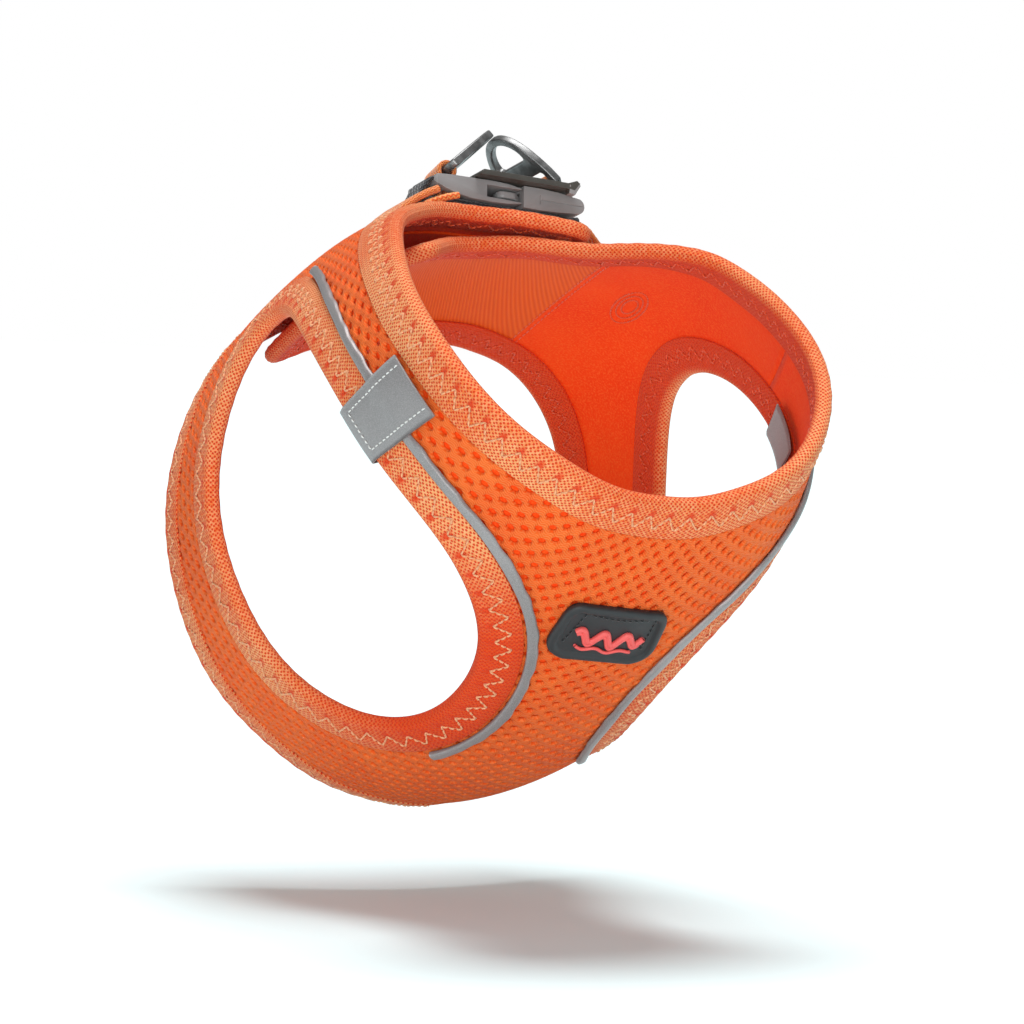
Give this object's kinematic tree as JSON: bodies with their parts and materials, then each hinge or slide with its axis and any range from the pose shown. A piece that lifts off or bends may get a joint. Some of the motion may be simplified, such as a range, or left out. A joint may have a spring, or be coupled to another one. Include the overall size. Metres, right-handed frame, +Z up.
{
  "type": "dog vest harness",
  "caption": "Step-in air-mesh vest harness for a small dog, with bound neck and leg openings, reflective trim, a back buckle and twin leash rings.",
  "frame": {"origin": "on the dog's body axis, midway between the middle of the neck opening and the middle of the torso opening", "axes": "+Z up, -Y the way the dog faces, +X the dog's left; the neck end is pitched up as the harness is shown"},
  "size_m": [0.1523, 0.1851, 0.2006],
  "materials": {
    "air_mesh": "open diamond air mesh",
    "lining_knit": "fine brushed knit",
    "binding_tape": "ribbed knitted tape with zigzag stitching",
    "reflective_tape": "matt grey reflective",
    "label_rubber": "matt moulded",
    "emblem_rubber": "matt moulded",
    "hook_and_loop": "hook and loop fleece",
    "orange_webbing": "woven",
    "black_webbing": "woven",
    "grey_plastic": "fine satin grain",
    "black_plastic": "satin",
    "dark_steel": "dark polished"
  },
  "bodies": {
    "vest": {"chest_mesh_panel": "air_mesh", "right_back_mesh_panel": "air_mesh", "left_back_mesh_panel": "air_mesh", "chest_lining": "lining_knit", "right_back_lining": "lining_knit", "left_back_lining": "lining_knit", "neck_binding": "binding_tape", "rear_binding": "binding_tape", "right_leg_binding": "binding_tape", "left_leg_binding": "binding_tape", "right_reflective_piping": "reflective_tape", "left_reflective_piping": "reflective_tape", "right_reflective_tab": "reflective_tape", "left_reflective_tab": "reflective_tape", "chest_label": "label_rubber", "label_emblem": "emblem_rubber", "hook_patch": "hook_and_loop", "loop_patch": "hook_and_loop", "rear_end_tag": "orange_webbing", "back_strap": "black_webbing", "right_ring_webbing": "orange_webbing", "right_shoulder_webbing": "orange_webbing", "left_tether_webbing": "orange_webbing", "buckle_female": "grey_plastic"},
    "male_half": {"buckle_male": "grey_plastic", "strap_slide": "black_plastic", "left_ring_webbing": "orange_webbing"},
    "front_prong": {"front_prong": "grey_plastic"},
    "rear_prong": {"rear_prong": "grey_plastic"},
    "right_ring": {"right_d_ring": "dark_steel"},
    "left_ring": {"left_d_ring": "dark_steel"}
  },
  "joints": [
    {"name": "buckle_release", "type": "slide", "parent": "vest", "child": "male_half", "axis": [0.9954, -0.0248, -0.0926], "range_m": [0, 0.012], "deforming": ["left_tether_webbing"]},
    {"name": "front_prong_squeeze", "type": "hinge", "parent": "male_half", "child": "front_prong", "pos_m": [0.01821, 0.01762, 0.06853], "axis": [-0.0958, -0.2576, -0.9615], "range_deg": [0, 6], "stiffness_Nm_per_rad": 0.3},
    {"name": "rear_prong_squeeze", "type": "hinge", "parent": "male_half", "child": "rear_prong", "pos_m": [0.01821, 0.03289, 0.06444], "axis": [0.0958, 0.2576, 0.9615], "range_deg": [0, 6], "stiffness_Nm_per_rad": 0.3},
    {"name": "right_ring_swing", "type": "hinge", "parent": "vest", "child": "right_ring", "pos_m": [-0.00605, 0.02758, 0.07515], "axis": [-0.1728, -0.9469, 0.271], "range_deg": [0, 90]},
    {"name": "left_ring_swing", "type": "hinge", "parent": "male_half", "child": "left_ring", "pos_m": [0.02541, 0.02679, 0.07222], "axis": [0, 0.9659, -0.2588], "range_deg": [0, 90]}
  ]
}
